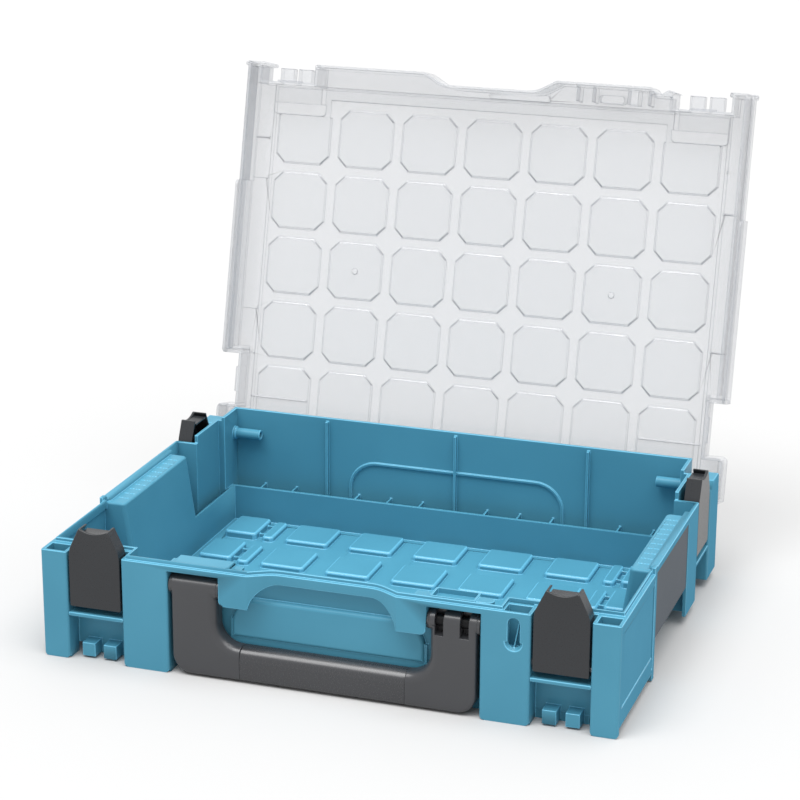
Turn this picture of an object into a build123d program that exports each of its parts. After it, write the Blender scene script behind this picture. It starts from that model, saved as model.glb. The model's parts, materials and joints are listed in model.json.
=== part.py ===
from build123d import *
import os

# A shallow stackable storage case: a moulded tray, a clear lid on two hinge pins at the back,
# four latches, a folding carry handle in front and a grip plate on each side.
# Millimetres. X is the width, Y the depth with the front at -Y, Z up from the resting face.
# The lid is drawn closed and then turned to the open angle in which the case is shown.

# Overall sizes
width = 396.0
depth = 296.0
height = 105.0
wall = 2.5
skirt_z = 6.5

# Insets from the side faces, from the front face and from the rear face of the case
half = width / 2
front_y = -depth / 2
rear_y = depth / 2

# Tub, the deep middle of the tray
tub_half = half - 25.0
tub_front_y = front_y + 18.0
tub_rear_y = rear_y - 21.0
floor_z = 3.0
low_wall_z = 30.0
trough_floor_z = 14.0
side_floor_z = 9.0

# Rims
post_top_z = 76.2
lip_z = 78.5
lip_wall = 1.6
side_rim_z = 80.0
latch_rim_z = 85.5
rear_rim_z = 88.0
rear_wall_y = rear_y - 8.0
rear_half = half - 22.5
rim_notch_half = 51.0
rim_notch_flat = 36.0
rim_notch_depth = 8.5
rim_notch_round = 22.0

# Latch recesses
recess_width = 39.4
recess_depth = 15.0
front_recess_x = half - 38.4
side_recess_y = rear_y - 52.75
ledge_z = 33.5
ledge_thick = 2.5
cube_width = 9.4
cube_gap = 6.0
cube_height = 9.5
cube_lift = 1.5
cube_reach = 10.5

# Shelf, frame and pad on the front rim
shelf_end = 105.0
shelf_start = 66.0
shelf_drop = 0.6
shelf_soft = 1.2
frame_start = 72.0
frame_end = 102.0
frame_wall = 1.4
frame_back = 2.0
pad_end = 108.5
pad_inset = 4.0
pad_drop = 1.0

# Front posts
handle_bay_half = 107.0
handle_bay_depth = 15.5
handle_bay_top_z = 72.5
post_pocket_depth = 11.0
post_round = 1.6
post_foot_round = 3.2
apron_half = 71.0
apron_low_z = 52.5
apron_arch_z = 69.5
apron_corner = 4.0
arch_half = 51.0
arch_round = 20.0
panel_half = 66.5
panel_low_z = 27.5
panel_top_z = 55.5
panel_proud = 4.0
panel_corner = 18.0
panel_foot_half = 68.0
panel_foot_proud = 2.1
panel_foot_low_z = 6.5
panel_foot_top_z = 40.0
lock_slot_inset = 11.0
lock_slot_width = 8.0
lock_slot_low_z = 52.0
lock_slot_high_z = 72.5
lock_pocket_half = 7.0
lock_lip_round = 2.0
lock_rib_thick = 0.9

# Side grip
grip_front_y = front_y + 96.5
grip_rear_y = rear_y - 105.0
grip_box_rear_y = rear_y - 96.0
grip_ledge_z = 77.0
grip_ledge_x = half - 18.0
grip_rim_x = half - 5.5
grip_box_round = 3.5
grip_plate_low_z = 28.5
grip_plate_top_z = 75.5
grip_plate_thick = 2.6
grip_flange = 4.0
frame_rib_width = 5.5
groove_width = 2.5
side_panel_front_y = front_y + 7.0
side_panel_low_z = 19.0
side_panel_high_z = 69.0
side_panel_step = 0.5
tick_pitch = 9.4
tick_count = 10
tick_size = 1.3
tick_rise = 0.35

# Rear posts and lid hinge
bar_inner_x = half - 12.0
bar_front_y = rear_y - 33.0
bar_rear_y = rear_y - 4.5
hinge_y = rear_y - 13.0
hinge_z = 70.0
hinge_pin_radius = 2.0
running_gap = 0.08
tube_radius = 3.9
tube_bore = 2.6
tube_mouth = 5.0
tube_inner_x = half - 44.0
tube_flange_radius = 5.0
cheek_inner_x = half - 17.8
cheek_outer_x = half - 13.4
cheek_radius = 8.0
open_angle = 104.5

# Pads on the tray floor and on the lid
pad_pitch = 50.3
pad_pitch_y = 50.0
pad_row_offset = 5.0
pad_size = 34.0
pad_height = 4.0
pad_round = 2.0
pad_corner = 3.0
block_width = 25.5
strip_width = 9.0
channel_width = 4.5
block_inset = 7.0
block_height = 5.5
bridge_place = 8.5
bridge_width = 2.4
lid_pad_size = 43.5
lid_pad_chamfer = 7.0
lid_pad_height = 0.8
lid_pad_slope = 55.0
lid_gate_radius = 2.2

# Rear wall ribs
rib_pitch = 25.4
rib_thick = 1.9
rib_depth = 3.4
rib_drop = 2.4
gusset_thick = 1.4
arch_line_half = 84.0
arch_line_top_z = 57.0
arch_line_width = 2.0
arch_line_depth = 1.6
arch_line_round = 22.0

# Lid
border_height = 0.4
lid_plate_thick = 2.2
lid_plate_z = height - border_height - lid_plate_thick
lid_wall = 2.2
lid_front_skirt_z = 76.6
lid_skirt_z = 79.4
lid_skirt_x = half - 5.7
lid_skirt_gap = 0.5
lid_collar_z = 88.3
lid_collar_x = half - 2.4
lid_shoulder_z = height - 8.0
lid_top_x = half - 3.8
flap_low_z = 80.8
flap_low_x = half - 2.1
flap_top_x = half - 0.4
flap_front_y = grip_front_y - 6.0
flap_corner = 5.0
lid_recess_depth = 14.2
lid_recess_relief = 1.8
lid_recess_z = 86.2
lid_rear_skirt_z = 89.0
lid_corner_z = 84.5
head_low_z = 88.5
head_shoulder_z = 92.0
head_depth = 3.0
head_reach = 1.8
head_round = 1.3
lid_lip_round = 1.0
lid_corner_round = 4.0
lip_relief = 4.0
lip_relief_z = 84.0
mark_x = half - 19.5
mark_insets = (56.5, 87.0, 188.0, 222.5)
mark_width = 0.8
mark_rise = 0.5
mark_radius = 0.9
lid_cube_width = 11.0
lid_cube_gap = 3.6
lid_cube_reach = 11.2
lid_cube_height = 7.5
catch_z = 88.6
catch_height = 5.5
catch_half = 9.5
catch_depth = 12.8
border_x = half - 20.0
border_y = depth / 2 - 15.0
lid_step = 0.8
lid_step_front_y = front_y + 16.0
lid_step_back_y = front_y + 24.7
lid_step_x = half - 67.0
lid_shelf_back_y = front_y + 37.5
lid_shelf_end_x = half - 21.0
lid_ledge_y = rear_y - 39.5
lid_ledge_rise = 2.4
lid_rib_z = 90.0
lid_rib_back_y = front_y + 13.0
dip_start = 121.6
dip_depth = 4.2
dip_shallow = 1.6
dip_run = 3.9
dip_flat = 5.2
dip_end = 3.0
dip_round = 1.5
step_leg = 4.5
step_shelf_gap = 4.0
step_floor_inset = 8.0
shelf_round = 3.5
ledge_width = 1.2
pocket_start = -6.0
pocket_spare = 5.0
pocket_round = 2.0
front_ribs = [(63.5, 65.5), (75.5, 77.5), (102.0, 110.0), (117.5, 119.5)]
boss_start = 80.0
boss_end = 99.0
boss_inset = 7.0
boss_rise = 4.0
boss_round = 2.4

# Latch
latch_width = 36.8
latch_low_z = 38.0
latch_shoulder_z = 77.5
latch_top_z = 93.4
latch_top_width = 21.4
latch_face = 0.5
latch_plate = 2.0
latch_depth = 11.5
latch_side = 2.0
latch_notch = 2.4
latch_horn = 1.0
latch_shoulder_round = 20.0
latch_foot_round = 1.2
latch_edge_round = 0.7
latch_pivot_depth = 7.0
latch_pivot_z = 42.0
latch_travel = 16.0
latch_pin_radius = 2.0
latch_boss_radius = 4.0
latch_boss_width = 6.0
latch_lip_depth = 11.7
latch_lip_z = catch_z + 1.0
latch_lip_height = 1.2
latch_back_thick = 2.0
latch_back_lift = 8.0
latch_back_z = 61.0
pin_seat = 2.0

# Handle
arm_inner_x = apron_half + 2.0
arm_outer_x = handle_bay_half - 2.5
handle_axis_y = front_y + 7.2
handle_axis_z = 62.0
barrel_radius = 7.0
handle_low_z = 1.6
handle_back_y = front_y + 13.1
grip_half = 57.0
grip_height = 22.4
grip_round = 2.5
grip_front_round = 8.5
arm_corner = 13.0
arm_inner_corner = 15.0
arm_edge_round = 2.2
arm_inner_round = 6.0
boss_radius = 6.7
boss_reach = 2.0
handle_pin_radius = 4.0
arm_slot_width = 5.8
arm_slot_low_z = 53.4
arm_slots = (6.7, 23.5)

# Where a cutting shape ends in the open, and by how little it runs past a face beside another part
beyond = 200.0
over = 0.05


def block(x0, x1, y0, y1, z0, z1):
    """A box from its two corners."""
    place = Pos((x0 + x1) / 2, (y0 + y1) / 2, (z0 + z1) / 2)
    return place * Box(abs(x1 - x0), abs(y1 - y0), abs(z1 - z0))


def pair(x0, x1, y0, y1, z0, z1):
    """The same box on the right and on the left."""
    return block(x0, x1, y0, y1, z0, z1) + block(-x1, -x0, y0, y1, z0, z1)


def upright(points, z0, z1):
    """A plan outline raised from z0 to z1."""
    return Pos(0, 0, z0) * extrude(make_face(Polyline(*points, close=True)), z1 - z0)


def along_y(points, y0, y1):
    """An X-Z outline carried along Y from y0 to y1."""
    face = make_face(Polyline(*[(x, y0, z) for x, z in points], close=True))
    return extrude(face, y1 - y0, dir=(0, 1, 0))


def along_x(points, x0, x1):
    """A Y-Z outline carried along X from x0 to x1."""
    face = make_face(Polyline(*[(x0, y, z) for y, z in points], close=True))
    return extrude(face, x1 - x0, dir=(1, 0, 0))


def rod_x(x0, x1, y, z, radius):
    """A round bar along X."""
    place = Pos((x0 + x1) / 2, y, z) * Rot(0, 90, 0)
    return place * Cylinder(radius, abs(x1 - x0))


def rod_y(x, y0, y1, z, radius):
    """A round bar along Y."""
    place = Pos(x, (y0 + y1) / 2, z) * Rot(90, 0, 0)
    return place * Cylinder(radius, abs(y1 - y0))


def rim_band(shift_front, shift_back, z0, z1, reach=handle_bay_half):
    """The front rim between two lines that follow its shallow middle notch."""
    def line(shift):
        y = front_y + shift
        deep = y + rim_notch_depth
        return FilletPolyline(
            (-rim_notch_half, y), (-rim_notch_flat, deep), (rim_notch_flat, deep), (rim_notch_half, y),
            radius=rim_notch_round)
    near, far = line(shift_front), line(shift_back)
    y_near, y_far = front_y + shift_front, front_y + shift_back
    left = Polyline((-rim_notch_half, y_near), (-reach, y_near), (-reach, y_far), (-rim_notch_half, y_far))
    right = Polyline((rim_notch_half, y_near), (reach, y_near), (reach, y_far), (rim_notch_half, y_far))
    face = make_face([near, far, left, right])
    return Pos(0, 0, z0) * extrude(face, z1 - z0)


def behind_rim(shift, back_y, reach, z0, z1):
    """Everything from a line that follows the front rim back to back_y."""
    y = front_y + shift
    deep = y + rim_notch_depth
    front = FilletPolyline(
        (-rim_notch_half, y), (-rim_notch_flat, deep), (rim_notch_flat, deep), (rim_notch_half, y),
        radius=rim_notch_round)
    rest = Polyline((rim_notch_half, y), (reach, y), (reach, back_y), (-reach, back_y), (-reach, y),
                    (-rim_notch_half, y))
    return Pos(0, 0, z0) * extrude(make_face([front, rest]), z1 - z0)


def post_edge(x, y, side_x, side_y, radius, z0, z1):
    """What is cut away to round an upright edge at x, y. The solid lies towards side_x, side_y."""
    inner_x, inner_y = x + side_x * radius, y + side_y * radius
    corner = block(x - side_x * over, inner_x, y - side_y * over, inner_y, z0, z1)
    return corner - Pos(inner_x, inner_y, (z0 + z1) / 2) * Cylinder(radius, z1 - z0)


def foot_edge(x, z, side_x, side_z, radius, y0, y1):
    """What is cut away to round an edge along Y at x, z. The solid lies towards side_x, side_z."""
    inner_x, inner_z = x + side_x * radius, z + side_z * radius
    corner = block(x - side_x * over, inner_x, y0, y1, z - side_z * over, inner_z)
    return corner - rod_y(inner_x, y0 - 1, y1 + 1, inner_z, radius)


# Places that several pieces share
recess_half = recess_width / 2
recess_x0, recess_x1 = front_recess_x - recess_half, front_recess_x + recess_half
recess_back_y = front_y + recess_depth
side_recess_y0, side_recess_y1 = side_recess_y - recess_half, side_recess_y + recess_half
side_recess_x = half - recess_depth
inner_x = half - wall
bay_back_y = front_y + handle_bay_depth
lock_slot_x = recess_x0 - lock_slot_inset
head_x = recess_x1 - head_reach
block_x0, block_x1 = tub_half - block_inset - block_width, tub_half - block_inset
strip_x1 = block_x0 - channel_width
strip_x0 = strip_x1 - strip_width
cube_spans = [(-cube_gap / 2 - cube_width, -cube_gap / 2), (cube_gap / 2, cube_gap / 2 + cube_width)]


def tray_envelope():
    """The outside of the tray before it is hollowed."""
    body = block(-tub_half - wall, tub_half + wall, bay_back_y, tub_rear_y + wall, 0, low_wall_z)
    body += block(-half, half, front_y, grip_front_y, skirt_z, post_top_z)
    body += block(-half, half, grip_front_y, side_recess_y0, skirt_z, side_rim_z)
    body += block(-side_recess_x, side_recess_x, side_recess_y0, bar_front_y + wall,
                  skirt_z, latch_rim_z)
    body += block(-rear_half - wall, rear_half + wall, side_recess_y1, rear_wall_y + wall,
                  trough_floor_z - wall, rear_rim_z)
    # The front walls of the posts and the cheeks of the recesses stand on the ground.
    body += pair(handle_bay_half, recess_x0, front_y, recess_back_y + wall, 0, skirt_z)
    body += pair(recess_x1, half, front_y, front_y + wall, 0, skirt_z)
    body += pair(recess_x1, recess_x1 + wall, front_y, recess_back_y, 0, skirt_z)
    return body


def tray_hollow():
    """The inside of the tray."""
    top = beyond
    space = block(-tub_half, tub_half, tub_front_y, tub_rear_y, floor_z, top)
    # Corners in front, beside the tub.
    space += pair(tub_half - wall, inner_x, recess_back_y + wall, grip_front_y - wall, side_floor_z, top)
    # Behind the front posts, and over the handle bay.
    space += pair(handle_bay_half + wall, recess_x0 - wall, front_y + wall, tub_front_y + wall,
                  side_floor_z, top)
    space += behind_rim(wall, tub_front_y + wall, handle_bay_half + 2 * wall, handle_bay_top_z + wall, top)
    space += behind_rim(wall, tub_front_y + wall, grip_half + wall, apron_arch_z + wall, top)
    space += block(-grip_rim_x, grip_rim_x, grip_front_y - wall - 1, grip_box_rear_y + wall + 1,
                   low_wall_z, top)
    # Pockets behind the grip boxes, the troughs and the wide part above them.
    box_end = grip_box_rear_y + wall
    space += pair(tub_half + wall, inner_x, box_end, side_recess_y0 - wall, trough_floor_z, top)
    space += pair(tub_half - wall, inner_x, box_end, side_recess_y0 - wall, low_wall_z, top)
    space += pair(tub_half + wall, side_recess_x - wall, box_end, bar_front_y, trough_floor_z, top)
    space += pair(tub_half - wall, side_recess_x - wall, box_end, bar_front_y, low_wall_z, top)
    space += block(-rear_half, rear_half, tub_rear_y + wall, rear_wall_y, trough_floor_z, top)
    space += block(-rear_half, rear_half, box_end, rear_wall_y, low_wall_z, top)
    return space


def grip_boxes():
    """The two boxes over the side hand gaps, with leaning inner walls and soft upper edges."""
    boxes = None
    low = low_wall_z - 1
    for side in (-1, 1):
        section = [(side * tub_half, low), (side * tub_half, low_wall_z), (side * grip_ledge_x, grip_ledge_z),
                   (side * (grip_rim_x + 1), grip_ledge_z), (side * (grip_rim_x + 1), low)]
        box = along_y(section, grip_front_y - wall, grip_box_rear_y + wall)
        middle = (tub_half + grip_ledge_x) / 2
        leaning = [edge for edge in box.edges()
                   if abs(abs(edge.center().X) - middle) < 2 and edge.length > grip_ledge_z - low_wall_z]
        box = fillet(leaning, grip_box_round)
        top = box.faces().sort_by(Axis.Z)[-1]
        rounded = [edge for edge in top.edges() if abs(edge.center().X) < grip_rim_x + 0.9]
        box = fillet(rounded, grip_box_round / 2)
        boxes = box if boxes is None else boxes + box
    return boxes


def tray_bays():
    """What is cut from the outside: latch recesses, handle bay and side grips."""
    cut = pair(recess_x0, recess_x1, front_y - 1, recess_back_y, -1, beyond)
    cut += block(-handle_bay_half, handle_bay_half, front_y - 1, bay_back_y, -1, handle_bay_top_z)
    # The shallow notch in the middle of the front rim.
    notch = block(-rim_notch_half, rim_notch_half, front_y - 1, front_y + rim_notch_depth + 1, 40, beyond)
    notch -= behind_rim(0, tub_front_y, handle_bay_half, 40, beyond)
    cut += notch
    for side in (-1, 1):
        section = [(side * (tub_half + wall), -1), (side * (tub_half + wall), low_wall_z),
                   (side * (grip_ledge_x + wall), grip_ledge_z - wall),
                   (side * inner_x, grip_ledge_z - wall), (side * inner_x, -1)]
        cut += along_y(section, grip_front_y, grip_box_rear_y)
    # The window that the grip plate fills above and the hand uses below.
    cut += pair(inner_x - 1, half + 1, grip_front_y, grip_rear_y, -1, grip_plate_top_z)
    # The underside between the tub and the outer walls is open.
    cut += pair(tub_half + wall, inner_x, recess_back_y + wall, grip_front_y - wall, -1, side_floor_z - wall)
    return cut


def tray_apron():
    """The hanging plate in front, between the handle arms, with its wide arch."""
    plate = rim_band(0, wall, apron_low_z, handle_bay_top_z + 1, reach=apron_half)
    arch = block(-arch_half + arch_round, arch_half - arch_round, front_y - 1, tub_front_y, 0, apron_arch_z)
    shoulder_z = apron_arch_z - arch_round
    arch += block(-arch_half, arch_half, front_y - 1, tub_front_y, 0, shoulder_z)
    for side in (-1, 1):
        arch += rod_y(side * (arch_half - arch_round), front_y - 1, tub_front_y, shoulder_z, arch_round)
    plate -= arch
    for side in (-1, 1):
        plate -= foot_edge(side * apron_half, apron_low_z, -side, 1, apron_corner, front_y - 1, bay_back_y)
    # Its ends carry the inner ends of the handle pins.
    ends = pair(apron_half - wall, apron_half, front_y + wall / 2, bay_back_y + 1, apron_low_z + apron_corner,
                handle_bay_top_z + 1)
    return plate + ends


def tray_rims():
    """The thin lip that stands inside the outer edge and meets the lid."""
    low = post_top_z - 4
    lips = rim_band(wall - 0.1, wall + lip_wall, handle_bay_top_z, lip_z, reach=handle_bay_half + wall)
    back = recess_back_y + wall
    for side, end in ((-1, recess_x0 - wall), (1, lock_slot_x - lock_pocket_half - 1)):
        lips += block(side * handle_bay_half, side * end, front_y + wall - 0.1, front_y + wall + lip_wall,
                      low, lip_z)
        lips += block(side * (end - lip_wall), side * end, front_y + wall - 0.1, back + lip_wall, low, lip_z)
        lips += block(side * (end - lip_wall), side * inner_x, back - 0.1, back + lip_wall, low, lip_z)
        lips += block(side * (inner_x - lip_wall), side * inner_x, back, grip_front_y - wall, low, lip_z)
    return lips


def tray_front_details():
    """Ledges and cubes of the front recesses, the shelf, the frame and the lock pocket."""
    add = pair(recess_x0 - 1, recess_x1 + 1, front_y + 0.4, recess_back_y + 1, ledge_z - ledge_thick, ledge_z)
    for side in (-1, 1):
        for u0, u1 in cube_spans:
            centre = side * front_recess_x
            add += block(centre + u0, centre + u1, recess_back_y - cube_reach, recess_back_y + 1,
                         cube_lift, cube_lift + cube_height)
    # A closed shelf over the left handle arm, an open frame and a round pad over the right one.
    shelf_front, shelf_back, low = front_y + wall, recess_back_y + wall + 1, handle_bay_top_z
    shelf = block(-shelf_end, -shelf_start, shelf_front, shelf_back, low, lip_z - shelf_drop)
    add += fillet(shelf.faces().sort_by(Axis.Z)[-1].edges(), shelf_soft)
    y0, y1, rim = shelf_front + frame_back, shelf_back + 1, frame_wall
    frame = block(frame_start, frame_end, y0, y1, low, lip_z)
    frame -= block(frame_start + rim, frame_end - rim, y0 + rim, y1 - rim, low + wall, lip_z + 1)
    add += frame
    y0, y1, top = shelf_front + pad_inset, shelf_back - pad_inset + 1, lip_z - pad_drop
    add += block(frame_end, pad_end, y0, y1, low, top)
    add += Pos(pad_end, (y0 + y1) / 2, (low + top) / 2) * Cylinder((y1 - y0) / 2, top - low)
    # The lock pocket in the right inner post.
    x0, x1 = lock_slot_x - lock_pocket_half - wall, recess_x0
    pocket_back = front_y + wall + post_pocket_depth
    add += block(x0, x1, front_y, pocket_back + wall, lock_slot_low_z - 7, post_top_z)
    return add


def lock_rib():
    """The thin slanting rib that stands in the lock pocket behind the slot."""
    foot_z, head_z = lock_slot_low_z - 5, lock_slot_high_z - 1
    lean = lock_slot_width / 2
    outline = [(lock_slot_x - 1.5, foot_z), (lock_slot_x - 1.5 + lock_rib_thick, foot_z),
               (lock_slot_x + lean, head_z), (lock_slot_x + lean - lock_rib_thick, head_z)]
    return along_y(outline, front_y + wall - 0.2, front_y + wall + 3.5)


def tray_front_cuts():
    """Pockets in the post tops, the upright slot and the holes for the handle pins."""
    x0, x1 = lock_slot_x - lock_pocket_half, recess_x0 - wall
    pocket_back = front_y + wall + post_pocket_depth
    cut = block(x0, x1, front_y + wall, pocket_back, lock_slot_low_z - 4, beyond)
    radius = lock_slot_width / 2
    cut += block(lock_slot_x - radius, lock_slot_x + radius, front_y - 1, front_y + wall + 1,
                 lock_slot_low_z + radius, lock_slot_high_z - radius)
    for z in (lock_slot_low_z + radius, lock_slot_high_z - radius):
        cut += rod_y(lock_slot_x, front_y - 1, front_y + wall + 1, z, radius)
    # The lower end of the slot flares out to the front.
    mouth = lock_slot_low_z + radius
    flare = Pos(lock_slot_x, front_y + wall / 2, mouth) * Rot(90, 0, 0) * Cone(
        radius, radius + lock_lip_round, wall)
    cut += flare - block(lock_slot_x - 9, lock_slot_x + 9, front_y - 1, front_y + wall + 1, mouth, mouth + 9)
    cut += pair(recess_x1 + wall, inner_x, front_y + wall, front_y + wall + post_pocket_depth,
                side_floor_z, beyond)
    for side in (-1, 1):
        cut += rod_x(side * (apron_half - wall - 1), side * (handle_bay_half + wall + 1),
                     handle_axis_y, handle_axis_z, handle_pin_radius + running_gap)
    return cut


def post_rounds():
    """What is cut away to round the upright edges and the feet of the posts."""
    cut = None
    uprights = [(half, front_y, -1, 1, beyond), (recess_x1, front_y, 1, 1, beyond),
                (recess_x0, front_y, -1, 1, beyond), (handle_bay_half, front_y, 1, 1, handle_bay_top_z),
                (half, side_recess_y0, -1, -1, beyond), (half, bar_front_y, -1, 1, beyond),
                (half, bar_rear_y, -1, -1, beyond)]
    for side in (-1, 1):
        for x, y, side_x, side_y, top in uprights:
            piece = post_edge(side * x, y, side * side_x, side_y, post_round, -1, top)
            cut = piece if cut is None else cut + piece
        for x, side_x in ((handle_bay_half, 1), (recess_x0, -1), (recess_x1, 1), (half, -1)):
            cut += foot_edge(side * x, 0, side * side_x, 1, post_foot_round, front_y - 1,
                             front_y + wall + 0.4)
    return cut


def latch_slots():
    """Upright slots in the recess walls, in which the latch pins slide."""
    radius = latch_pin_radius + running_gap
    depth = latch_pivot_depth
    reach = recess_half + pin_seat + 0.2
    low, high = latch_pivot_z, latch_pivot_z + latch_travel
    cut = None
    for side in (-1, 1):
        centre, y = side * front_recess_x, front_y + depth
        slot = block(centre - reach, centre + reach, y - radius, y + radius, low, high)
        for z in (low, high):
            slot += rod_x(centre - reach, centre + reach, y, z, radius)
        x = side * (half - depth)
        across = block(x - radius, x + radius, side_recess_y - reach, side_recess_y + reach, low, high)
        for z in (low, high):
            across += rod_y(x, side_recess_y - reach, side_recess_y + reach, z, radius)
        cut = slot + across if cut is None else cut + slot + across
    return cut


def tray_side_details():
    """Frame ribs, grooves, the seats of the grip plates, ledges and the rear posts."""
    rib_y = grip_front_y - frame_rib_width
    add = pair(inner_x, half, rib_y, grip_front_y, 1.0, side_rim_z + 0.8)
    flange_x = half - grip_plate_thick - 0.4
    add += pair(flange_x - wall, flange_x, grip_front_y - 1, grip_rear_y + 1,
                grip_plate_top_z - grip_flange, grip_plate_top_z + 1)
    for y0, y1 in ((grip_front_y - 1, grip_front_y + grip_flange),
                   (grip_rear_y - grip_flange, grip_rear_y + 1)):
        add += pair(flange_x - wall, flange_x, y0, y1, grip_plate_low_z, grip_plate_top_z)
    add += pair(flange_x - wall, inner_x + 0.5, grip_rear_y, grip_rear_y + 1, grip_plate_low_z,
                grip_plate_top_z)
    add += pair(side_recess_x - 1, half - 0.4, side_recess_y0 - 1, side_recess_y1 + 1,
                ledge_z - ledge_thick, ledge_z)
    # The outer bars of the rear posts, outside the lid's cheeks.
    bar = [(bar_front_y, skirt_z), (bar_rear_y, skirt_z), (bar_rear_y, side_rim_z - 4),
           (bar_rear_y - 4, side_rim_z), (bar_front_y + 8, side_rim_z), (bar_front_y, side_rim_z - 6)]
    for x0, x1 in ((bar_inner_x, half), (-half, -bar_inner_x)):
        add += along_x(bar, x0, x1)
    add += pair(rear_half, half, bar_front_y, bar_front_y + wall, skirt_z, side_rim_z - 6)
    add += pair(rear_half, half, bar_front_y, bar_rear_y, skirt_z, skirt_z + wall)
    add += pair(rear_half, rear_half + wall, bar_front_y, rear_wall_y + wall, skirt_z, trough_floor_z)
    # Two rows of small raised ticks on the ledge over each grip.
    first = (grip_front_y + grip_box_rear_y - (tick_count - 1) * tick_pitch) / 2
    for index in range(tick_count):
        y = first + index * tick_pitch
        for x in (grip_ledge_x + 4.0, grip_ledge_x + 8.5):
            add += pair(x - tick_size, x + tick_size, y - 0.4, y + 0.4, grip_ledge_z - 0.5,
                        grip_ledge_z + tick_rise)
    return add


def side_panels():
    """The shallow panels in the side faces, in front of the grips."""
    rear = grip_front_y - frame_rib_width - groove_width
    return pair(half - side_panel_step, half + 1, side_panel_front_y, rear + 0.1, side_panel_low_z,
                side_panel_high_z)


def soft_pad(x0, x1, y0, y1, z0, z1):
    """A low pad with rounded corners and a rounded upper edge."""
    pad = block(x0, x1, y0, y1, z0, z1)
    pad = fillet(pad.edges().filter_by(Axis.Z), pad_corner)
    return fillet(pad.faces().sort_by(Axis.Z)[-1].edges(), pad_round)


def tray_interior_details():
    """Floor pads, rear wall ribs, gussets and the hinge tubes."""
    add = None
    low = floor_z - 0.5
    for row in range(-2, 3):
        y = pad_row_offset + row * pad_pitch_y
        y0, y1 = y - pad_size / 2, y + pad_size / 2
        for column in range(-2, 3):
            x = column * pad_pitch
            pad = soft_pad(x - pad_size / 2, x + pad_size / 2, y0, y1, low, floor_z + pad_height)
            add = pad if add is None else add + pad
        # The outer columns are split by a channel, with two low bridges in each pad.
        for side in (-1, 1):
            add += soft_pad(side * strip_x0, side * strip_x1, y0, y1, low, floor_z + pad_height)
            add += soft_pad(side * block_x0, side * block_x1, y0, y1, low, floor_z + block_height)
            for place in (-bridge_place, bridge_place):
                add += block(side * (strip_x1 - 2), side * (block_x0 + 2), y + place - bridge_width / 2,
                             y + place + bridge_width / 2, low, floor_z + pad_height - 1)
    for index in range(-6, 7):
        x = index * rib_pitch
        if index % 4 == 0:
            add += block(x - rib_thick / 2, x + rib_thick / 2, rear_wall_y - rib_depth, rear_wall_y + 0.5,
                         trough_floor_z, rear_rim_z - rib_drop)
        else:
            add += block(x - gusset_thick / 2, x + gusset_thick / 2, tub_rear_y + wall - 0.5,
                         rear_wall_y + 0.5, trough_floor_z - 0.5, low_wall_z)
    # A rounded arch line on the rear wall.
    reach, top = arch_line_half, arch_line_top_z
    outer = block(-reach, reach, rear_wall_y - arch_line_depth, rear_wall_y + 0.5, trough_floor_z, top)
    outer = fillet(outer.edges().filter_by(Axis.Y).sort_by(Axis.Z)[-2:], arch_line_round)
    reach, top = reach - arch_line_width, top - arch_line_width
    inner = block(-reach, reach, rear_wall_y - rib_depth, rear_wall_y + 1, trough_floor_z - 1, top)
    inner = fillet(inner.edges().filter_by(Axis.Y).sort_by(Axis.Z)[-2:], arch_line_round - arch_line_width)
    add += outer - inner
    for side in (-1, 1):
        add += rod_x(side * tube_inner_x, side * (rear_half + 1), hinge_y, hinge_z, tube_radius)
        add += rod_x(side * (rear_half - 2), side * (rear_half + 1), hinge_y, hinge_z, tube_flange_radius)
    # The bulged panel behind the hand space of the handle.
    panel = block(-panel_half, panel_half, bay_back_y - panel_proud, bay_back_y + 1, panel_low_z, panel_top_z)
    panel = fillet(panel.edges().filter_by(Axis.Y).sort_by(Axis.Z)[-2:], panel_corner)
    panel = fillet(panel.faces().sort_by(Axis.Y)[0].edges(), panel_proud * 0.7)
    add += panel
    add += block(-panel_foot_half, panel_foot_half, bay_back_y - panel_foot_proud, bay_back_y + 1,
                 panel_foot_low_z, panel_foot_top_z)
    return add


def hinge_holes():
    """Bores for the two lid hinge pins."""
    cut = None
    for side in (-1, 1):
        hole = rod_x(side * (tube_inner_x - 1), side * (bar_inner_x + 2.2), hinge_y, hinge_z,
                     hinge_pin_radius + running_gap)
        hole += rod_x(side * (tube_inner_x - 1), side * (tube_inner_x + tube_mouth), hinge_y, hinge_z,
                      tube_bore)
        cut = hole if cut is None else cut + hole
    return cut


def make_tray():
    """The whole moulded tray as one solid."""
    tray = tray_envelope() - tray_hollow()
    tray += grip_boxes()
    tray -= tray_bays()
    tray += tray_apron()
    tray += tray_rims()
    tray += tray_front_details()
    tray += tray_side_details()
    tray += tray_interior_details()
    tray -= tray_front_cuts()
    tray += lock_rib()
    tray -= post_rounds()
    tray -= side_panels()
    tray -= latch_slots()
    tray -= hinge_holes()
    # Grooves beside the frame ribs.
    rib_y = grip_front_y - frame_rib_width
    tray -= pair(half - 1.6, half + 1, rib_y - groove_width, rib_y, 10, side_rim_z - 8)
    return tray


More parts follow.
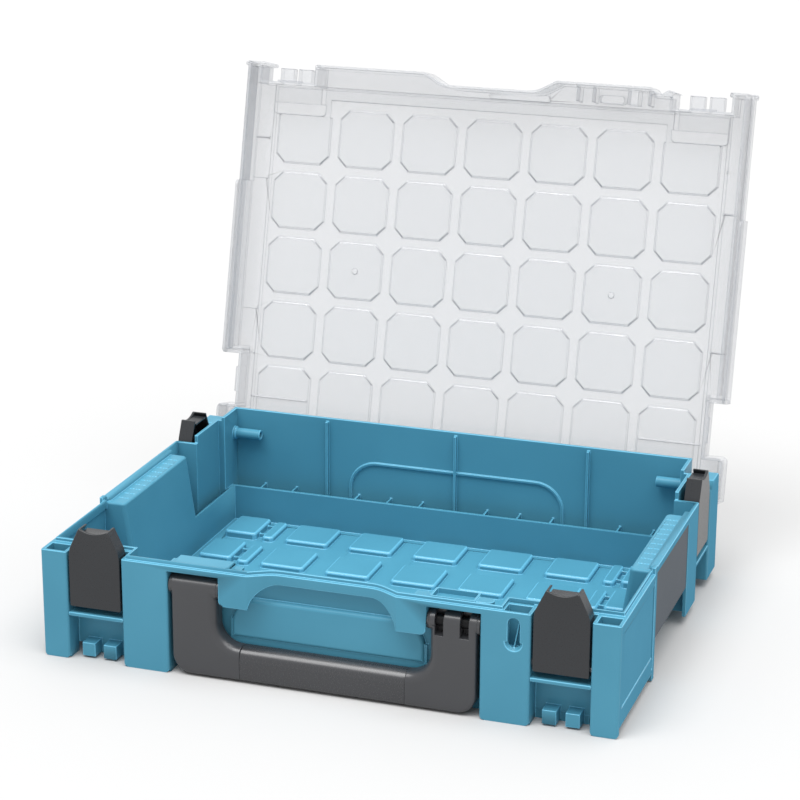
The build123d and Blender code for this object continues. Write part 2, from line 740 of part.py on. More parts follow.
def make_lid():
    """The clear lid in its closed place."""
    top = lid_plate_z + lid_plate_thick
    back_y, side_x = front_y + lid_recess_depth, half - lid_recess_depth
    skirt_end = side_recess_y0 - wall - lid_skirt_gap
    body = block(-lid_skirt_x, lid_skirt_x, front_y, rear_y, lid_plate_z, top)
    # The front and rear skirts, and the inner skirts that drop inside the rim of the tray.
    body += rim_band(0, lid_wall, lid_front_skirt_z, top, reach=recess_x0)
    body += block(-lid_skirt_x, lid_skirt_x, rear_y - lid_wall, rear_y, lid_rear_skirt_z, top)
    body += pair(lid_skirt_x - lid_wall, lid_skirt_x, front_y + 1, skirt_end, lid_skirt_z, top)
    body += pair(side_x - lid_wall, lid_skirt_x, skirt_end - lid_wall, skirt_end, lid_recess_z, top)
    # Walls round the latch recesses.
    x0, x1 = recess_x0 - lid_recess_relief, recess_x1 + lid_recess_relief
    body += pair(x0 - lid_wall, x1 + lid_wall, front_y + 1, back_y + lid_wall, lid_skirt_z, top)
    body += pair(side_x - lid_wall, lid_collar_x, side_recess_y0 - lid_wall, side_recess_y1 + lid_wall,
                 lid_recess_z, height)
    # The front wall steps back on the right, in front of the lock slot of the tray.
    body += block(dip_start - 0.2, recess_x0, front_y + 1, front_y + dip_depth + lid_wall,
                  lid_front_skirt_z, top)
    for side in (-1, 1):
        # The collar of the front part, the long flap with its shelf, and the rear corner.
        collar = [(lid_collar_x - lid_wall, lid_collar_z), (lid_collar_x, lid_collar_z),
                  (lid_collar_x, lid_shoulder_z), (lid_top_x, height), (lid_skirt_x - lid_wall, height),
                  (lid_skirt_x - lid_wall, lid_plate_z), (lid_top_x - lid_wall, lid_plate_z),
                  (lid_collar_x - lid_wall, lid_shoulder_z)]
        body += along_y([(side * x, z) for x, z in collar], front_y + 1, flap_front_y)
        flap = [(flap_low_x - lid_wall, flap_low_z), (flap_low_x, flap_low_z), (flap_top_x, lid_shoulder_z),
                (lid_skirt_x - lid_wall, lid_shoulder_z), (lid_skirt_x - lid_wall, lid_shoulder_z - lid_wall),
                (flap_top_x - lid_wall, lid_shoulder_z - lid_wall)]
        wing = along_y([(side * x, z) for x, z in flap], flap_front_y, side_recess_y0)
        x0, x1 = side * (lid_skirt_x + 1), side * (half + 1)
        y0, y1, low = flap_front_y, side_recess_y0, flap_low_z
        corners = block(x0, x1, y0 - 1, y0 + flap_corner, low - 1, low + flap_corner)
        corners -= rod_x(x0, x1, y0 + flap_corner, low + flap_corner, flap_corner)
        corners += block(x0, x1, y1 - flap_corner, y1 + 1, low - 1, low + flap_corner)
        corners -= rod_x(x0, x1, y1 - flap_corner, low + flap_corner, flap_corner)
        body += wing - corners
        head = [(head_x, head_low_z), (half, head_low_z), (half, head_shoulder_z), (lid_collar_x, height),
                (head_x, height)]
        body += along_y([(side * x, z) for x, z in head], front_y, front_y + head_depth)
    body += pair(recess_x1, lid_skirt_x, front_y, front_y + lid_wall, lid_skirt_z, head_low_z + 1)
    body += pair(lid_skirt_x - lid_wall, half, rear_y - lid_wall, rear_y, lid_corner_z, height)
    body += pair(half - lid_wall, half, side_recess_y1, rear_y, lid_corner_z, height)
    body += pair(side_x, half, side_recess_y1, side_recess_y1 + lid_wall, lid_recess_z, height)
    body += pair(lid_skirt_x - 1, half, side_recess_y1, rear_y, lid_plate_z, height)
    # A low border on the outside.
    for y in (-border_y, border_y - lid_wall):
        body += block(-border_x, border_x, y, y + lid_wall, top - 0.5, top + border_height)
    body += pair(border_x - lid_wall, border_x, -border_y, border_y, top - 0.5, top + border_height)
    front_end = front_y + head_depth
    body -= pair(recess_x0, head_x, front_y - 1, front_end, 0, beyond)
    body -= pair(recess_x0 - lip_relief, recess_x1, front_y - 1, front_end, 0, lip_relief_z)
    body -= pair(recess_x0, recess_x1, front_y - 1, front_end, 0, head_low_z)
    # Behind their rounded lips, the front wall and the heads step back from the recess.
    body -= pair(recess_x0 - lid_recess_relief, recess_x1 + lid_recess_relief, front_end, back_y, 0, beyond)
    body -= pair(side_x, half + 1, side_recess_y0, side_recess_y1, 0, beyond)
    # What stands in front of the notch in the middle of the front edge.
    notch = block(-rim_notch_half, rim_notch_half, front_y - 1, front_y + rim_notch_depth + 1, 40, beyond)
    body -= notch - behind_rim(0, tub_front_y, handle_bay_half, 40, beyond)
    x, y, shallow = dip_start, front_y, front_y + dip_shallow
    low_y, end_x = y + dip_depth, recess_x0 - dip_end
    line = FilletPolyline((x, y), (x + dip_run, low_y), (x + dip_run + dip_flat, low_y),
                          (x + 2 * dip_run + dip_flat, shallow), (end_x, shallow), (recess_x0, y + dip_end),
                          radius=dip_round)
    rest = Polyline((recess_x0, y + dip_end), (recess_x0 + 1, y + dip_end), (recess_x0 + 1, y - 1),
                    (x, y - 1), (x, y))
    body -= Pos(0, 0, 40) * extrude(make_face([line, rest]), beyond)
    return body - lid_rounds()


def lid_rounds():
    """What is cut away to round the upright edges of the lid's lips, heads and rear corners."""
    cut = None
    back = front_y + head_depth
    places = [(half, front_y, -1, 1, head_round), (head_x, front_y, 1, 1, head_round),
              (head_x, back, 1, -1, head_round), (half, back, -1, -1, head_round),
              (half, side_recess_y1, -1, 1, lid_corner_round)]
    for side in (-1, 1):
        for x, y, side_x, side_y, radius in places:
            piece = post_edge(side * x, y, side * side_x, side_y, radius, 40, beyond)
            cut = piece if cut is None else cut + piece
    return cut + post_edge(-recess_x0, front_y, 1, 1, lid_lip_round, 40, beyond)


def lid_steps():
    """The shallow steps on the inside of the lid's plate, and the ribs behind its front wall."""
    low, high = lid_plate_z - lid_step, lid_plate_z + 0.5
    # A long step along the front edge, which turns back beside the latch recesses.
    add = block(-lid_step_x, lid_step_x, lid_step_front_y, lid_step_back_y, low, high)
    leg_end = lid_step_x + step_leg
    add += pair(lid_step_x, leg_end, lid_step_front_y, lid_shelf_back_y, low, high)
    # A shelf behind each front recess, and a stepped floor between the two.
    shelf_front = lid_step_back_y + step_shelf_gap
    shelf = block(leg_end - 1, lid_shelf_end_x, shelf_front, lid_shelf_back_y, low - lid_step, high)
    shelf = fillet(shelf.edges().filter_by(Axis.Z).sort_by(Axis.Y)[-2:], shelf_round)
    floor = block(lid_step_x + step_floor_inset, lid_shelf_end_x, lid_step_front_y, shelf_front + 1,
                  low, high)
    add += shelf + floor
    add += mirror(shelf, about=Plane.YZ) + mirror(floor, about=Plane.YZ)
    # A short ledge near each rear corner.
    add += pair(lid_step_x, lid_shelf_end_x, lid_ledge_y - ledge_width, lid_ledge_y,
                lid_plate_z - lid_ledge_rise, high)
    # A flat pocket with round ends behind the notch of the front edge.
    pocket = block(pocket_start, rim_notch_flat + pocket_spare, front_y + rim_notch_depth + lid_wall - 0.5,
                   lid_step_front_y - 1, low - lid_step, high)
    add += fillet(pocket.edges().filter_by(Axis.Z), pocket_round)
    # Ribs and a boss behind the right part of the front wall, over the lock slot.
    for x0, x1 in front_ribs:
        add += block(x0, x1, front_y + lid_wall - 0.5, lid_rib_back_y, lid_rib_z, high)
    boss = block(boss_start, boss_end, front_y + boss_inset, lid_rib_back_y, lid_rib_z + boss_rise, high)
    add += fillet(boss.edges().filter_by(Axis.Z), boss_round)
    # Low lines and small round marks across the border strips.
    for inset in mark_insets:
        y, low = front_y + inset, lid_plate_z - mark_rise
        add += pair(mark_x, lid_skirt_x - lid_wall + 0.5, y - mark_width / 2, y + mark_width / 2, low, high)
        for side in (-1, 1):
            add += Pos(side * mark_x, y, lid_plate_z) * Cylinder(mark_radius, 2 * mark_rise + 0.4)
    # The marks of the two mould gates.
    for side in (-1, 1):
        add += Pos(side * 2 * pad_pitch, pad_row_offset, lid_plate_z - lid_pad_height) * Cylinder(
            lid_gate_radius, 2 * lid_step)
    return add


def lid_details():
    """Cubes, catches, floor pads and the hinge cheeks of the lid."""
    back_y, side_x = front_y + lid_recess_depth, half - lid_recess_depth
    add = pair(front_recess_x - catch_half, front_recess_x + catch_half, front_y + catch_depth, back_y + 1,
               catch_z - catch_height, catch_z)
    add += pair(side_x - 1, half - catch_depth, side_recess_y - catch_half, side_recess_y + catch_half,
                lid_recess_z, catch_z)
    for side in (-1, 1):
        for place in (-1, 1):
            x = side * front_recess_x + place * (lid_cube_gap + lid_cube_width) / 2
            add += block(x - lid_cube_width / 2, x + lid_cube_width / 2, back_y - lid_cube_reach, back_y + 1,
                         height - lid_cube_height, height)
    for row in range(-2, 3):
        y = pad_row_offset + row * pad_pitch_y
        for column in range(-3, 4):
            x = column * pad_pitch
            r, c = lid_pad_size / 2, lid_pad_chamfer
            points = [(x - r + c, y - r), (x + r - c, y - r), (x + r, y - r + c), (x + r, y + r - c),
                      (x + r - c, y + r), (x - r + c, y + r), (x - r, y + r - c), (x - r, y - r + c)]
            outline = make_face(Polyline(*points, close=True))
            add += Pos(0, 0, lid_plate_z) * extrude(outline, -lid_pad_height, taper=lid_pad_slope)
    for x0, x1 in ((cheek_inner_x, cheek_outer_x), (-cheek_outer_x, -cheek_inner_x)):
        add += block(x0, x1, hinge_y - cheek_radius, hinge_y + cheek_radius, hinge_z, lid_plate_z + 1)
        add += rod_x(x0, x1, hinge_y, hinge_z, cheek_radius)
    return add


def cheek_holes():
    """Bores in the cheeks, which turn on the hinge pins."""
    cut = None
    for side in (-1, 1):
        hole = rod_x(side * (cheek_inner_x - 1), side * (cheek_outer_x + 1), hinge_y, hinge_z,
                     hinge_pin_radius + running_gap)
        cut = hole if cut is None else cut + hole
    return cut


def latch_shape():
    """One latch, with u across, depth v inwards from the face of the case, and z up."""
    w, t, s = latch_width / 2, latch_top_width / 2, latch_side
    low, shoulder, top = latch_low_z, latch_shoulder_z, latch_top_z
    body = along_y([(-w, low), (w, low), (w, shoulder), (t, top), (-t, top), (-w, shoulder)],
                   latch_face, latch_depth)
    rows = body.edges().filter_by(Axis.Y).group_by(Axis.Z)
    body = fillet(rows[1], latch_shoulder_round)
    body = fillet(body.edges().filter_by(Axis.Y).group_by(Axis.Z)[0], latch_foot_round)
    # The wide curved finger notch in the top edge, between two small horns.
    reach, deep = t - latch_horn, latch_notch
    notch_radius = (reach ** 2 + deep ** 2) / (2 * deep)
    body -= rod_y(0, latch_face - 1, latch_depth + 1, top - deep + notch_radius, notch_radius)
    body = fillet(body.faces().sort_by(Axis.Y)[0].edges(), latch_edge_round)
    inner = along_y([(-w + s, low - 1), (w - s, low - 1), (w - s, shoulder), (t - s, top + 1),
                     (-t + s, top + 1), (-w + s, shoulder)], latch_face + latch_plate, latch_depth + 1)
    body -= fillet(inner.edges().filter_by(Axis.Y).group_by(Axis.Z)[1], latch_shoulder_round - s)
    # The lip that hooks over the lid, the closed lower back and the bosses for the pin.
    body += block(-catch_half + 0.5, catch_half - 0.5, latch_face + 1, latch_lip_depth,
                  latch_lip_z, latch_lip_z + latch_lip_height)
    body += block(-w + 1, w - 1, latch_depth - latch_back_thick, latch_depth,
                  low + latch_back_lift, latch_back_z)
    for u0, u1 in ((-w, -w + latch_boss_width), (w - latch_boss_width, w)):
        body += rod_x(u0, u1, latch_pivot_depth, latch_pivot_z, latch_boss_radius)
    body -= rod_x(-w - 1, w + 1, latch_pivot_depth, latch_pivot_z, latch_pin_radius + running_gap)
    return body


def latch_pin_shape():
    """The pin of one latch, in the latch's own axes."""
    reach = recess_half + pin_seat
    return rod_x(-reach, reach, latch_pivot_depth, latch_pivot_z, latch_pin_radius)


def at_recess(shape, name):
    """Places a latch or its pin in one of the four recesses."""
    if name == "front_left":
        return Pos(-front_recess_x, front_y, 0) * shape
    if name == "front_right":
        return Pos(front_recess_x, front_y, 0) * shape
    if name == "rear_left":
        return Pos(-half, side_recess_y, 0) * Rot(0, 0, -90) * shape
    return Pos(half, side_recess_y, 0) * Rot(0, 0, 90) * shape


def arm_edges(face):
    """The edges of one face of a handle arm, without the seam and the line under the barrel."""
    return [edge for edge in face.edges()
            if edge.center().Z < handle_axis_z - 1 and edge.center().X > grip_half + 0.1]


def inner_edge(edge):
    """Whether an edge of a handle arm is on the side of the hand."""
    top = handle_low_z + grip_height - 1
    return edge.center().Z > top and edge.center().X < arm_inner_x + arm_inner_round + 1


def make_arm(side):
    """One L-shaped handle arm with its barrel, bosses and half of the lower bar."""
    y0, y1 = front_y + 0.2, handle_back_y
    low = handle_low_z
    arm = block(arm_inner_x, arm_outer_x, y0, y1, low, handle_axis_z)
    arm = fillet(arm.edges().filter_by(Axis.Y).group_by(Axis.Z)[0].sort_by(Axis.X)[-1:], arm_corner)
    bar = block(grip_half, arm_inner_x + 1, y0, y1, low, low + grip_height)
    corner = block(arm_inner_x - arm_inner_corner, arm_inner_x + 1, y0, y1, low + grip_height - 1,
                   low + grip_height + arm_inner_corner)
    corner -= rod_y(arm_inner_x - arm_inner_corner, y0 - 1, y1 + 1, low + grip_height + arm_inner_corner,
                    arm_inner_corner)
    arm = arm + bar + corner
    # The edges of the front and the back are rounded, all but the seam and the line under the barrel.
    # The inner ones are rounder in front, where the hand closes over them.
    for face, radius in ((0, arm_inner_round), (-1, arm_edge_round)):
        edges = arm_edges(arm.faces().sort_by(Axis.Y)[face])
        arm = fillet([edge for edge in edges if inner_edge(edge)], radius)
    edges = arm_edges(arm.faces().sort_by(Axis.Y)[0])
    arm = fillet([edge for edge in edges if not inner_edge(edge)], arm_edge_round)
    arm += rod_x(arm_inner_x, arm_outer_x, handle_axis_y, handle_axis_z, barrel_radius)
    arm += rod_x(arm_inner_x - boss_reach + 0.3, arm_outer_x + boss_reach, handle_axis_y, handle_axis_z,
                 boss_radius)
    if side > 0:
        for place in arm_slots:
            x = arm_inner_x + place
            arm -= block(x - arm_slot_width / 2, x + arm_slot_width / 2, front_y - 1,
                         handle_axis_y + 2, arm_slot_low_z, beyond)
    arm -= rod_x(arm_inner_x - 5, arm_outer_x + 5, handle_axis_y, handle_axis_z,
                 handle_pin_radius + running_gap)
    return arm if side > 0 else mirror(arm, about=Plane.YZ)


def make_grip():
    """The rounded middle of the handle."""
    y0, y1 = front_y + 0.2, handle_back_y
    grip = block(-grip_half, grip_half, y0, y1, handle_low_z, handle_low_z + grip_height)
    grip = fillet(grip.edges().filter_by(Axis.X).group_by(Axis.Z)[0], grip_round)
    grip = fillet(grip.edges().filter_by(Axis.X).group_by(Axis.Z)[-1].sort_by(Axis.Y)[-1:], grip_round)
    return fillet(grip.edges().filter_by(Axis.X).group_by(Axis.Z)[-1].sort_by(Axis.Y)[:1], grip_front_round)


def make_plate(side):
    """The dark plate over one side grip."""
    x1 = half - 0.4
    plate = block(x1 - grip_plate_thick, x1, grip_front_y + 0.2, grip_rear_y - 0.2,
                  grip_plate_low_z, grip_plate_top_z - 0.2)
    return plate if side > 0 else mirror(plate, about=Plane.YZ)


os.makedirs("parts", exist_ok=True)
opened = Pos(0, hinge_y, hinge_z) * Rot(-open_angle, 0, 0) * Pos(0, -hinge_y, -hinge_z)
nodes = {
    "base_tray": make_tray(),
    "lid_cover": opened * (make_lid() + lid_steps() + lid_details() - cheek_holes()),
    "handle_grip": make_grip(),
}
for side, word in ((-1, "left"), (1, "right")):
    nodes[f"handle_arm_{word}"] = make_arm(side)
    nodes[f"handle_pin_{word}"] = rod_x(side * (apron_half - wall), side * (handle_bay_half + wall),
                                        handle_axis_y, handle_axis_z, handle_pin_radius)
    nodes[f"grip_plate_{word}"] = make_plate(side)
    nodes[f"lid_hinge_pin_{word}"] = rod_x(side * (tube_inner_x + tube_mouth), side * (bar_inner_x + 2),
                                           hinge_y, hinge_z, hinge_pin_radius)
for corner in ("front_left", "front_right", "rear_left", "rear_right"):
    nodes[f"latch_{corner}"] = at_recess(latch_shape(), corner)
    nodes[f"latch_pin_{corner}"] = at_recess(latch_pin_shape(), corner)

for name, shape in nodes.items():
    export_step(shape, f"parts/{name}.step")
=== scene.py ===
import bmesh
import bpy
import json
import numpy as np
from math import cos, pi, radians, sin
from mathutils import Matrix, Vector
from mathutils.bvhtree import BVHTree


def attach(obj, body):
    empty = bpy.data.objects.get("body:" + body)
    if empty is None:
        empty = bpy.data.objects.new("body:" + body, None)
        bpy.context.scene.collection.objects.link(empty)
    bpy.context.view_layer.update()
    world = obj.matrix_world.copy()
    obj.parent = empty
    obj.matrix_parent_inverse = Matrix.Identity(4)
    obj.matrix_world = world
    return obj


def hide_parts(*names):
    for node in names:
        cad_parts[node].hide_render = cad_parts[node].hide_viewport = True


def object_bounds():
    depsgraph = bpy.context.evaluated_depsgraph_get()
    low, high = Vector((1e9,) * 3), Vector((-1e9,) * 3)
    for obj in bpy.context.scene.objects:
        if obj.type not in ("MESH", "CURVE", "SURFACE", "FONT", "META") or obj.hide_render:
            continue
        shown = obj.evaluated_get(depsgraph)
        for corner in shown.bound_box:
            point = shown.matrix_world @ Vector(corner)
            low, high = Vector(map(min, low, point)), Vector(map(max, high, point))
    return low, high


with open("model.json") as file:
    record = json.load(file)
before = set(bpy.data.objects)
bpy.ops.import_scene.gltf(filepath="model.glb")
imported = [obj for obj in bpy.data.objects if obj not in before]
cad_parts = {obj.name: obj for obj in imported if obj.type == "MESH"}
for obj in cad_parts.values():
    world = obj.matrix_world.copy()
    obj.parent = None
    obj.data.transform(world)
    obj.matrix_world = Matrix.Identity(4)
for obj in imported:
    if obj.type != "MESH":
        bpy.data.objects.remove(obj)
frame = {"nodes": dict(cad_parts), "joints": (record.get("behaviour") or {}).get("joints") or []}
solid_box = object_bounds()
mm = 0.001


# The tray is one injection moulding in blue-green polypropylene: a tub with thin ribs, posts at
# the corners and a stepped rim. Its edges are rounded by the mould and its outside has a fine
# spark texture that gives a soft satin sheen.

def colour(code):
    """Turns an sRGB hex colour into linear values for the shader."""
    parts = np.array([int(code[i:i + 2], 16) for i in (1, 3, 5)]) / 255
    linear = np.where(parts <= 0.04045, parts / 12.92, ((parts + 0.055) / 1.055) ** 2.4)
    return (*linear, 1.0)


def node(material, kind, links=(), **settings):
    """Adds one shader node with its settings and its input links."""
    made = material.node_tree.nodes.new(kind)
    for key, value in settings.items():
        if key in made.inputs:
            made.inputs[key].default_value = value
        elif key.replace("_", " ") in made.inputs:
            made.inputs[key.replace("_", " ")].default_value = value
        else:
            setattr(made, key, value)
    for socket, source in links:
        material.node_tree.links.new(source, made.inputs[socket])
    return made


def moulded_material(name, light, dark, roughness, grain_mm, grain_height_mm, gloss=0.5, patch_mm=71.4):
    """A moulded plastic: two close tones in broad soft patches, and a fine spark-eroded grain."""
    material = bpy.data.materials.new(name)
    material.use_nodes = True
    material.node_tree.nodes.clear()
    place = node(material, "ShaderNodeTexCoord").outputs["Object"]
    broad = node(material, "ShaderNodeTexNoise", [("Vector", place)], Scale=1 / (patch_mm * mm), Detail=2.0)
    tone = node(material, "ShaderNodeValToRGB", [("Fac", broad.outputs["Fac"])])
    tone.color_ramp.elements[0].position = 0.35
    tone.color_ramp.elements[0].color = colour(dark)
    tone.color_ramp.elements[1].position = 0.65
    tone.color_ramp.elements[1].color = colour(light)
    fine = node(material, "ShaderNodeTexNoise", [("Vector", place)], Scale=1 / (grain_mm * mm), Detail=3.0)
    sheen = node(material, "ShaderNodeMapRange", [("Value", fine.outputs["Fac"])],
                 To_Min=roughness - 0.04, To_Max=roughness + 0.05)
    relief = node(material, "ShaderNodeBump", [("Height", fine.outputs["Fac"])],
                  Strength=0.25, Distance=grain_height_mm * mm)
    shader = node(material, "ShaderNodeBsdfPrincipled",
                  [("Base Color", tone.outputs["Color"]), ("Roughness", sheen.outputs["Result"]),
                   ("Normal", relief.outputs["Normal"])], IOR=1.49, Specular_IOR_Level=gloss)
    node(material, "ShaderNodeOutputMaterial", [("Surface", shader.outputs["BSDF"])])
    return material


def rounded_piece(name, source, material, body, radius_mm, angle=30, strip_material=None):
    """A copy of a solid of the frame, merged, with its sharp edges rounded off to a radius.

    Each edge whose faces turn by more than the angle becomes a strip of two faces, which takes the
    strip's material if it has one. An edge whose strip would leave the old surface by more than
    three quarters of the radius is left sharp. A few rounds find such edges, and a piece for which
    they don't suffice keeps all its edges sharp.
    """
    radius = radius_mm * mm
    most_off = 0.75 * radius
    rounds = 5
    base = bmesh.new()
    base.from_mesh(frame["nodes"][source].data)
    bmesh.ops.remove_doubles(base, verts=base.verts, dist=0.002 * mm)
    base.normal_update()
    skin = BVHTree.FromBMesh(base)
    left_sharp = set()
    for attempt in range(rounds):
        work = base.copy()
        sharp = [edge for edge in work.edges if edge.index not in left_sharp
                 and len(edge.link_faces) == 2 and edge.calc_face_angle(0) > radians(angle)]
        ends = {edge.index: [corner.co.copy() for corner in edge.verts] for edge in sharp}
        bmesh.ops.bevel(work, geom=sharp, offset=radius, offset_type="OFFSET", segments=2, profile=0.5,
                        affect="EDGES", clamp_overlap=False, loop_slide=True,
                        material=1 if strip_material else -1, miter_outer="SHARP", miter_inner="SHARP")
        astray = [(point.co.copy(), skin.find_nearest(point.co)[3]) for point in work.verts]
        astray = [(point, far) for point, far in astray if far > most_off]
        if not astray:
            break
        for point, far in astray:
            for index, (start, end) in ends.items():
                along = end - start
                share = min(1.0, max(0.0, (point - start).dot(along) / max(along.length_squared, 1e-12)))
                if (start + along * share - point).length < far + (1.5 + attempt) * radius:
                    left_sharp.add(index)
    else:
        work = base.copy()
    mesh = bpy.data.meshes.new(name)
    work.to_mesh(mesh)
    work.free()
    base.free()
    for finish in filter(None, (material, strip_material)):
        mesh.materials.append(finish)
    mesh.polygons.foreach_set("use_smooth", np.ones(len(mesh.polygons), bool))
    mesh.set_sharp_from_angle(angle=radians(50))
    piece = bpy.data.objects.new(name, mesh)
    bpy.context.scene.collection.objects.link(piece)
    shading = piece.modifiers.new("shading", "WEIGHTED_NORMAL")
    shading.keep_sharp = True
    shading.weight = 90
    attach(piece, body)
    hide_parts(source)
    return piece


def face_arrays(mesh):
    """The normal, the middle and the material index of each face of a mesh."""
    found = []
    for key, width, kind in (("normal", 3, float), ("center", 3, float), ("material_index", 1, np.int32)):
        values = np.empty(len(mesh.polygons) * width, kind)
        mesh.polygons.foreach_get(key, values)
        found.append(values.reshape(-1, width) if width > 1 else values)
    return found


polypropylene = moulded_material("moulded_polypropylene_blue_green", "#4A8AA2", "#46859D", 0.32, 0.9, 0.02,
                                 0.16)
# The rounded edge strips are glossier than the flat faces, and their lighter colour is a painted highlight
# along the edges.
polished_painted_highlight = moulded_material("polished_polypropylene_edge_painted_highlight", "#62AAC6", "#5CA4C0", 0.26, 0.9, 0.01, 0.4)
sparked = moulded_material("spark_textured_polypropylene", "#508CA6", "#4C88A2", 0.60, 0.7, 0.04, 0.0)
tray = rounded_piece("tray", "base_tray", polypropylene, "case", 0.45,
                     strip_material=polished_painted_highlight)
tray.data.materials.append(sparked)

# The side faces, within a few millimetres of the outermost ones, carry the mould's spark texture,
# which keeps them matt. The rounded edges of the floor pads, low in the tub, are polished and drawn
# in the lighter edge colour, which is a painted highlight.
smooth_face, polished_painted_highlight_face, sparked_face = 0, 1, 2
square_on = 0.99
flat_enough = 0.985
side_depth = 8 * mm
pad_zone_z = 16 * mm
pad_zone_y = 130 * mm
normals, middles, kinds = face_arrays(tray.data)
aside = abs(middles[:, 0]) > abs(solid_box[1][0]) - side_depth
outside = aside & (normals[:, 0] * np.sign(middles[:, 0]) > square_on)
kinds[outside & (kinds == smooth_face)] = sparked_face
low_down = (middles[:, 2] < pad_zone_z) & (abs(middles[:, 1]) < pad_zone_y)
pad_edge = low_down & (abs(normals).max(axis=1) < flat_enough)
kinds[pad_edge & (kinds == smooth_face)] = polished_painted_highlight_face
tray.data.polygons.foreach_set("material_index", kinds)


# The lid is one moulding in clear polycarbonate, polished on both sides. Its flat panels are
# almost invisible against white, and its steps, edges and walls, where more of it lies in the
# line of sight, look grey.

def clear_plastic(name, code, least, most, roughness, flow_mm=111.1, cloud_mm=384.6):
    """Clear plastic whose cover rises from least, seen square on, to most, seen along the face.

    A broad cloud adds a little to the cover, as a large moulding is never quite even.
    """
    material = bpy.data.materials.new(name)
    material.use_nodes = True
    material.node_tree.nodes.clear()
    place = node(material, "ShaderNodeTexCoord").outputs["Object"]
    flow = node(material, "ShaderNodeTexNoise", [("Vector", place)], Scale=1 / (flow_mm * mm), Detail=1.5)
    gloss = node(material, "ShaderNodeMapRange", [("Value", flow.outputs["Fac"])],
                 To_Min=roughness - 0.03, To_Max=roughness + 0.05)
    edge = node(material, "ShaderNodeLayerWeight", Blend=0.45)
    cover = node(material, "ShaderNodeMapRange", [("Value", edge.outputs["Facing"])],
                 To_Min=least, To_Max=most)
    cloud = node(material, "ShaderNodeTexNoise", [("Vector", place)], Scale=1 / (cloud_mm * mm), Detail=0.0)
    uneven = node(material, "ShaderNodeMath", [(0, cloud.outputs["Fac"]), (2, cover.outputs["Result"])],
                  operation="MULTIPLY_ADD")
    cloud_share = uneven.inputs[1]
    cloud_share.default_value = 0.12
    shader = node(material, "ShaderNodeBsdfPrincipled",
                  [("Roughness", gloss.outputs["Result"]), ("Alpha", uneven.outputs["Value"])],
                  Base_Color=colour(code), IOR=1.58)
    node(material, "ShaderNodeOutputMaterial", [("Surface", shader.outputs["BSDF"])])
    return material


clear_panel = clear_plastic("clear_polycarbonate_panel", "#BFC1C5", 0.24, 0.44, 0.12)
clear_step = clear_plastic("clear_polycarbonate_edge", "#9EA1A6", 0.44, 0.74, 0.10)
clear_pad = clear_plastic("clear_polycarbonate_square", "#B9BCC0", 0.30, 0.52, 0.12)
clear_corner = clear_plastic("clear_polycarbonate_corner", "#6F7378", 0.72, 0.92, 0.10)
lid = rounded_piece("lid", "lid_cover", clear_panel, "lid", 0.35, strip_material=clear_step)
for finish in (clear_pad, clear_corner):
    lid.data.materials.append(finish)

# The squares of the lid are a little thicker, so greyer, and their short slanting edges are the
# darkest lines. Both are found by their height and their slope in the lid's own axes, which the
# turn of the hinge from closed to open gives.
panel_face, edge_face, square_face, corner_face = 0, 1, 2, 3
hinge = next(joint for joint in frame["joints"] if joint["name"] == "lid_hinge")
open_turn = radians(hinge["range_deg"][1])
outward = np.array((0, sin(open_turn), cos(open_turn)))
across = np.array((0, cos(open_turn), -sin(open_turn)))
square_height = 101.6 * mm
square_edge_rise = 0.5 * mm
level_within = 0.05 * mm
least_slope = 0.2
least_slant = 0.3
normals, middles, kinds = face_arrays(lid.data)
off_square = abs((middles - np.array(hinge["pos_m"])) @ outward + hinge["pos_m"][2] - square_height)
near_square = off_square < square_edge_rise
facing = normals @ outward
turned = np.minimum(abs(normals[:, 0]), abs(normals @ across)) > least_slant
kinds[(off_square < level_within) & (facing < -square_on)] = square_face
kinds[near_square & (kinds == edge_face) & turned] = corner_face
sloping = near_square & (kinds == panel_face) & (abs(facing) > least_slope) & (abs(facing) < square_on)
kinds[sloping & turned] = corner_face
kinds[sloping & ~turned] = square_face
lid.data.polygons.foreach_set("material_index", kinds)


# The four latches are stiff levers moulded in black plastic with a satin finish. Each one turns on
# a pin of drawn steel, which slides up so that the latch can also hold the case above.

latch_plastic = moulded_material("moulded_latch_plastic_black", "#27292C", "#242629", 0.28, 0.7, 0.03, 0.45)
steel = bpy.data.materials.new("drawn_steel")
steel.use_nodes = True
steel.node_tree.nodes.clear()
place = node(steel, "ShaderNodeTexCoord").outputs["Object"]
streak_mm = 1.11
streak = node(steel, "ShaderNodeTexNoise", [("Vector", place)], Scale=1 / (streak_mm * mm), Detail=2.0)
drawn = node(steel, "ShaderNodeMapRange", [("Value", streak.outputs["Fac"])], To_Min=0.22, To_Max=0.38)
metal = node(steel, "ShaderNodeBsdfPrincipled", [("Roughness", drawn.outputs["Result"])],
             Base_Color=colour("#B4B4B8"), Metallic=1.0)
node(steel, "ShaderNodeOutputMaterial", [("Surface", metal.outputs["BSDF"])])
for corner in ("front_left", "front_right", "rear_left", "rear_right"):
    rounded_piece(f"latch_{corner}_lever", f"latch_{corner}", latch_plastic, f"clasp_{corner}",
                  0.2)
    rounded_piece(f"latch_{corner}_pin", f"latch_pin_{corner}", steel, f"pivot_{corner}", 0.25)


# The carry handle is two L-shaped arms in dark grey plastic with a fine grain and a smoother,
# rounded grip between them. It hangs in front on two thick black pins.

handle_plastic = moulded_material("moulded_handle_plastic_dark_grey", "#38393C", "#353639", 0.30, 0.8, 0.03,
                                  0.6)
pin_plastic = moulded_material("moulded_pin_plastic_black", "#121214", "#101012", 0.45, 0.8, 0.02, 0.2)
for side in ("left", "right"):
    rounded_piece(f"handle_{side}_arm", f"handle_arm_{side}", handle_plastic, "handle",
                  0.35)
    rounded_piece(f"handle_{side}_pin", f"handle_pin_{side}", pin_plastic, "case", 0.3)
grip_plastic = moulded_material("smooth_grip_plastic_dark_grey", "#303134", "#2D2E31", 0.26, 0.8, 0.02, 0.7)
rounded_piece("handle_bar", "handle_grip", grip_plastic, "handle", 0.35)


# A plate moulded in dark grey plastic is clipped over the hand gap on each side, and two pins of
# drawn steel carry the lid.

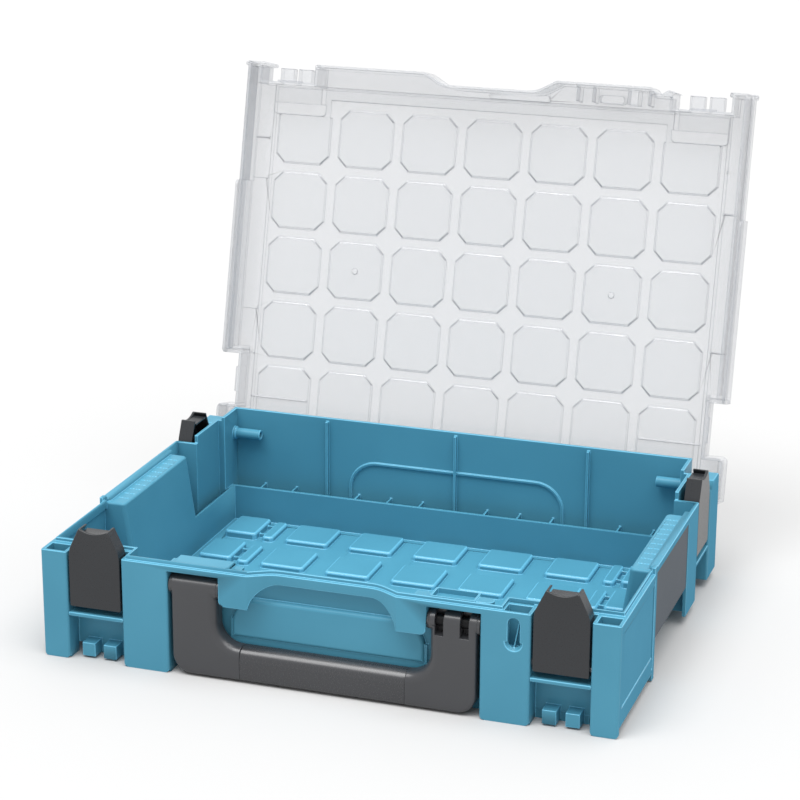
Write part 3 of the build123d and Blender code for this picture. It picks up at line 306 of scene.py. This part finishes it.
plate_plastic = moulded_material("moulded_plate_plastic_grey", "#52585F", "#4F555B", 0.5, 0.9, 0.05, 0.05)
for side in ("left", "right"):
    rounded_piece(f"grip_{side}", f"grip_plate_{side}", plate_plastic, "case", 0.4)
    rounded_piece(f"hinge_{side}_pin", f"lid_hinge_pin_{side}", steel, "case", 0.3)


# The studio: a wide pale floor, a white surround, a broad soft light above, a smaller one from the
# front left and the camera where the photograph was taken from.

floor = bpy.data.meshes.new("studio_floor")
floor_reach = 6.0
corners = [(x * floor_reach, y * floor_reach, 0) for x, y in ((-1, -1), (1, -1), (1, 1), (-1, 1))]
floor.from_pydata(corners, [], [(0, 1, 2, 3)])
paper = bpy.data.materials.new("white_paper_floor")
paper.use_nodes = True
paper.node_tree.nodes.clear()
matt = node(paper, "ShaderNodeBsdfPrincipled", Base_Color=colour("#BABABA"), Roughness=1.0,
            Specular_IOR_Level=0.0)
node(paper, "ShaderNodeOutputMaterial", [("Surface", matt.outputs["BSDF"])])
floor.materials.append(paper)
floor_piece = bpy.data.objects.new("studio_floor", floor)
bpy.context.scene.collection.objects.link(floor_piece)

surround = bpy.data.worlds.new("white_surround")
surround.use_nodes = True
surround.node_tree.nodes["Background"].inputs["Color"].default_value = (1, 1, 1, 1)
surround.node_tree.nodes["Background"].inputs["Strength"].default_value = 0.85
bpy.context.scene.world = surround
bpy.context.scene.view_settings.view_transform = "Standard"


def soft_sun(name, towards, strength, spread):
    """An even light from far away, from the direction towards, as wide as a large softbox."""
    data = bpy.data.lights.new(name, "SUN")
    data.energy = strength
    data.angle = radians(spread)
    light = bpy.data.objects.new(name, data)
    bpy.context.scene.collection.objects.link(light)
    light.matrix_world = Vector(towards).to_track_quat("Z", "Y").to_matrix().to_4x4()


soft_sun("softbox_above", (0.20, -0.16, 1.0), 2.75, 60)
soft_sun("key_light", (-0.30, -0.42, 1.0), 1.3, 30)

yaw, pitch, roll = radians(18.675), radians(18.001), radians(0.285)
forward = Vector((-sin(yaw) * cos(pitch), cos(yaw) * cos(pitch), -sin(pitch)))
right = Vector((cos(yaw), sin(yaw), 0))
up = right.cross(forward)
right, up = cos(roll) * right + sin(roll) * up, -sin(roll) * right + cos(roll) * up
sensor_mm = 36.0
focal_pixels, picture_pixels = 2470.064, 800
camera_data = bpy.data.cameras.new("camera")
camera_data.sensor_width = sensor_mm
camera_data.lens = focal_pixels / picture_pixels * sensor_mm
camera_data.clip_start = 0.05
camera_data.clip_end = 50.0
camera = bpy.data.objects.new("camera", camera_data)
bpy.context.scene.collection.objects.link(camera)
position = (0.516617, -1.518845, 0.677648)
turn = Matrix((right, up, -forward)).transposed().to_4x4()
camera.matrix_world = Matrix.Translation(position) @ turn
bpy.context.scene.camera = camera
